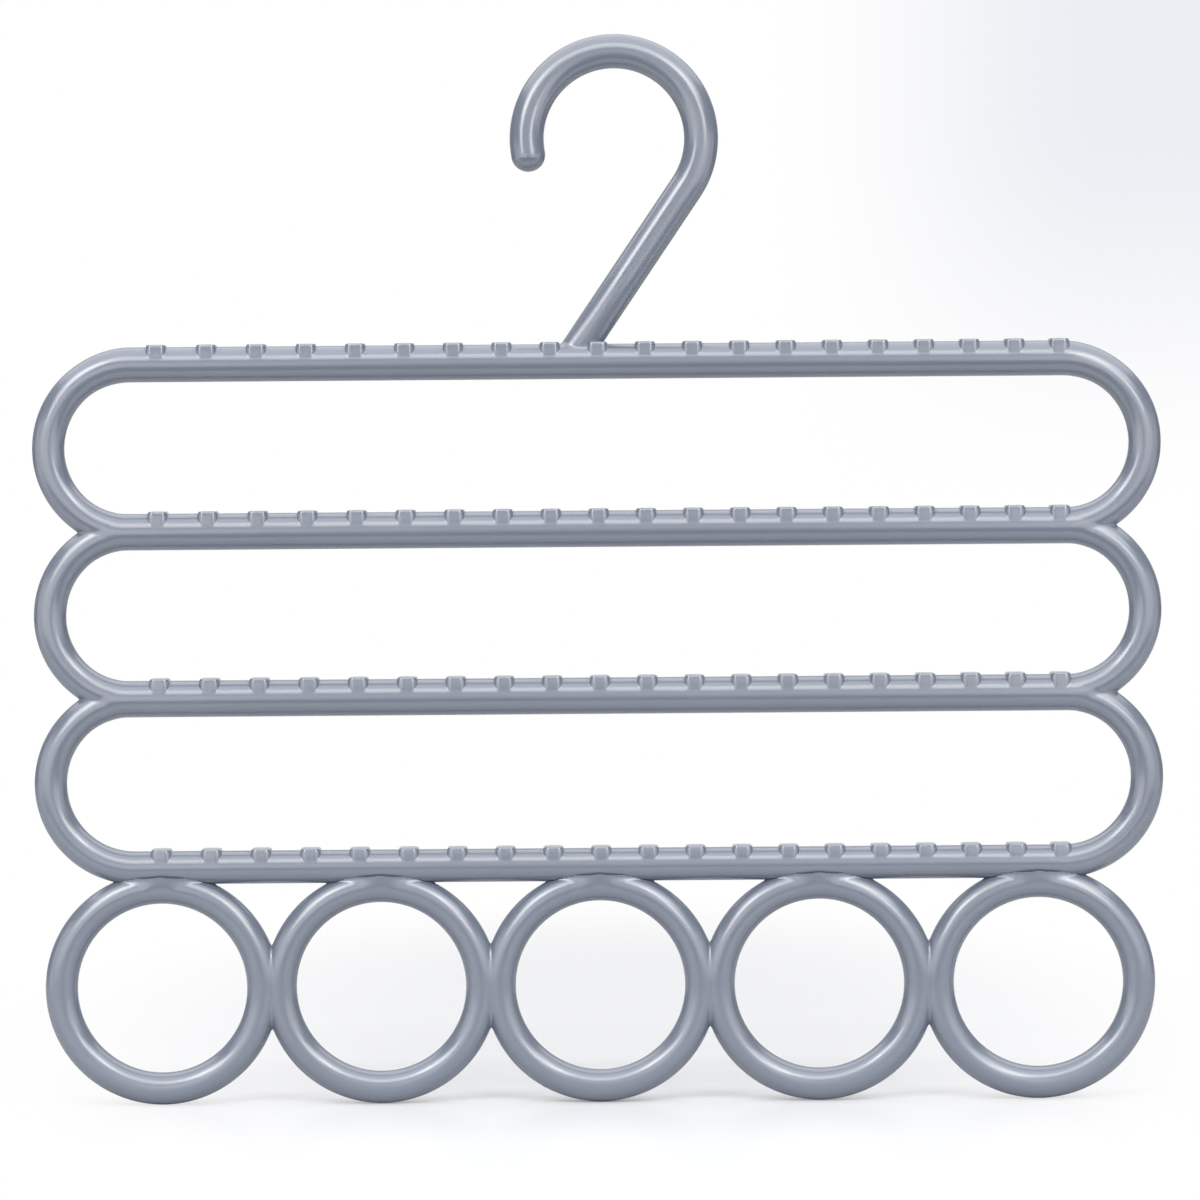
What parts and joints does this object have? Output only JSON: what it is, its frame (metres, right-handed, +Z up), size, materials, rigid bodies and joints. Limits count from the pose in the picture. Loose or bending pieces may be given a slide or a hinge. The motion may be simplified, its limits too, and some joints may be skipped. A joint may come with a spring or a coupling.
{
  "type": "scarf hanger",
  "caption": "Flat moulded plastic hanger with a hook, stacked bar loops with raised anti-slip nubs, and a row of round rings for scarves, ties and belts.",
  "frame": {"origin": "seat of the wardrobe rail, at the inner top of the hook's crown", "axes": "+X to the right seen from the front, along the bars; +Y to the back; +Z up"},
  "size_m": [0.3704, 0.012, 0.35],
  "materials": {
    "plastic": "glossy grey-blue moulded polypropylene"
  },
  "bodies": {
    "root": {"hook": "plastic", "top_bar": "plastic", "second_bar": "plastic", "third_bar": "plastic", "bottom_bar": "plastic", "left_upper_bow": "plastic", "left_middle_bow": "plastic", "left_lower_bow": "plastic", "right_upper_bow": "plastic", "right_middle_bow": "plastic", "right_lower_bow": "plastic", "ring_1": "plastic", "ring_2": "plastic", "ring_3": "plastic", "ring_4": "plastic", "ring_5": "plastic", "top_bar_nubs": "plastic", "second_bar_nubs": "plastic", "third_bar_nubs": "plastic", "bottom_bar_nubs": "plastic"}
  },
  "joints": []
}
